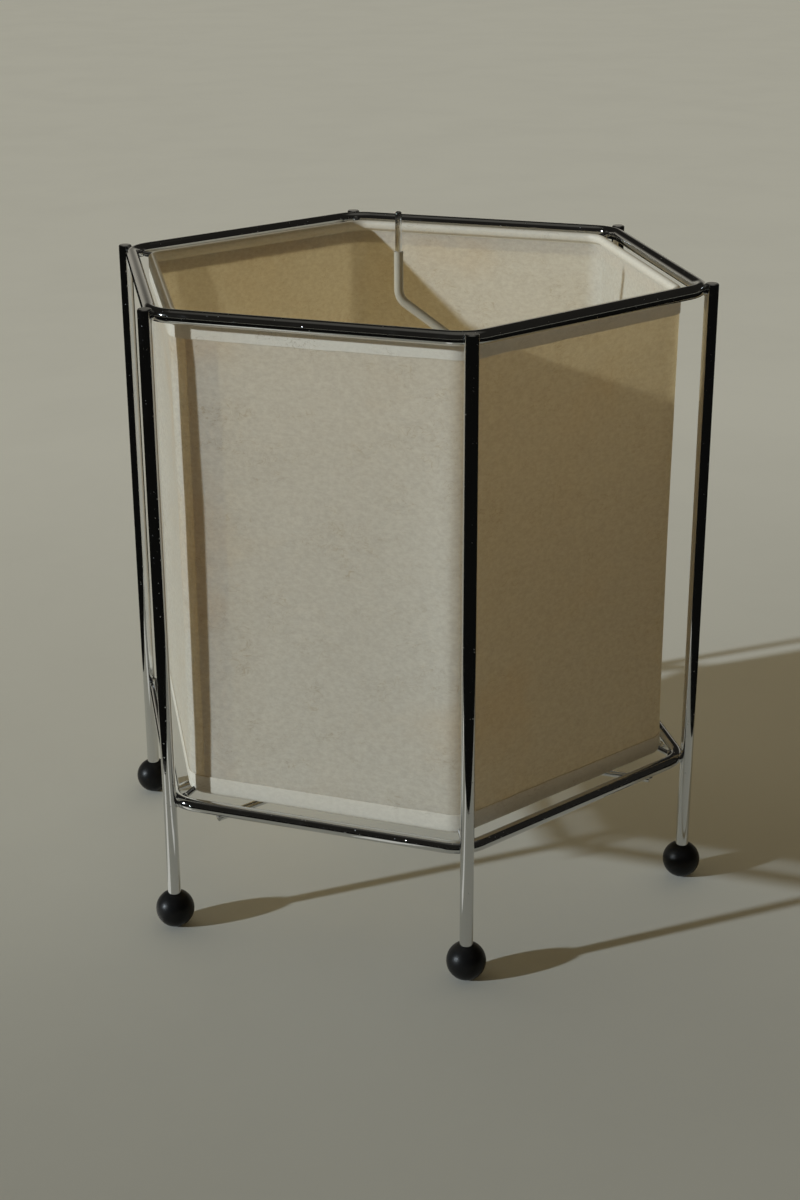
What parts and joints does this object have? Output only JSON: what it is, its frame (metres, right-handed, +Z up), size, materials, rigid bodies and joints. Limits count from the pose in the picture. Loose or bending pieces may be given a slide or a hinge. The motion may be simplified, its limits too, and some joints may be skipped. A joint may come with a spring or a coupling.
{
  "type": "table lamp",
  "caption": "Free-standing table lamp: a hexagonal paper shade held inside a chromed wire frame on ball feet, with a screw bulb and a cranked lifting rod in the middle.",
  "frame": {"origin": "on the floor under the middle of the lamp", "axes": "+Z up; leg 3, the front corner in the picture, stands at -Y; +X is square to a shade face"},
  "size_m": [0.26, 0.2974, 0.3104],
  "materials": {
    "chrome_wire": "bright chrome plate on steel wire, finely pitted",
    "black_ball": "matt black with a soft sheen",
    "rice_paper": "cream fibrous paper, a little stained with age",
    "paper_hem": "folded and glued cream paper",
    "hoop_wire": "white lacquered wire",
    "cream_sleeve": "cream sleeve with a soft sheen",
    "zinc_steel": "zinc plated",
    "black_moulding": "moulded, satin",
    "porcelain": "unglazed",
    "brass": "pressed sheet",
    "opal_glass": "opal white",
    "clear_glass": "clear",
    "black_glass": "black glass",
    "bulb_metal": "rolled thread",
    "filament_wire": "fine wire"
  },
  "bodies": {
    "stand": {"leg_1": "chrome_wire", "leg_2": "chrome_wire", "leg_3": "chrome_wire", "leg_4": "chrome_wire", "leg_5": "chrome_wire", "leg_6": "chrome_wire", "top_ring": "chrome_wire", "bottom_ring": "chrome_wire", "top_spoke_1": "chrome_wire", "top_spoke_2": "chrome_wire", "top_spoke_3": "chrome_wire", "top_spoke_4": "chrome_wire", "top_spoke_5": "chrome_wire", "top_spoke_6": "chrome_wire", "bottom_spoke_1": "chrome_wire", "bottom_spoke_2": "chrome_wire", "bottom_spoke_3": "chrome_wire", "bottom_spoke_4": "chrome_wire", "bottom_spoke_5": "chrome_wire", "bottom_spoke_6": "chrome_wire", "holder_arm_1": "chrome_wire", "holder_arm_2": "chrome_wire", "holder_arm_3": "chrome_wire", "holder_arm_4": "chrome_wire", "holder_arm_5": "chrome_wire", "holder_arm_6": "chrome_wire", "lift_rod": "chrome_wire", "foot_1": "black_ball", "foot_2": "black_ball", "foot_3": "black_ball", "foot_4": "black_ball", "foot_5": "black_ball", "foot_6": "black_ball", "shade_paper": "rice_paper", "top_hem": "paper_hem", "bottom_hem": "paper_hem", "top_hoop": "hoop_wire", "bottom_hoop": "hoop_wire", "rod_sleeve": "cream_sleeve", "holder_plate": "zinc_steel", "nipple": "zinc_steel", "nipple_nuts": "zinc_steel", "lock_washer": "zinc_steel", "rod_nuts": "zinc_steel", "terminal_screws": "zinc_steel", "lampholder_cap": "black_moulding", "lampholder_shell": "black_moulding", "cord_bush": "black_moulding", "contact_block": "porcelain", "screw_shell": "brass", "centre_contact": "brass"},
    "bulb_screw": {"bulb_tip": "brass"},
    "bulb": {"bulb_glass": "opal_glass", "bulb_cap": "bulb_metal", "bulb_insulator": "black_glass", "bulb_stem": "clear_glass", "bulb_filament": "filament_wire"}
  },
  "joints": [
    {"name": "bulb_rise", "type": "slide", "parent": "stand", "child": "bulb_screw", "axis": [0, 0, 1], "range_m": [0, 0.01815]},
    {"name": "bulb_turn", "type": "hinge", "parent": "bulb_screw", "child": "bulb", "pos_m": [0, 0, 0.0861], "axis": [0, 0, 1], "range_deg": [0, 1800]}
  ],
  "couplings": [
    {"joint": "bulb_rise", "follows": "bulb_turn", "m_per_rad": 0.00057757}
  ]
}
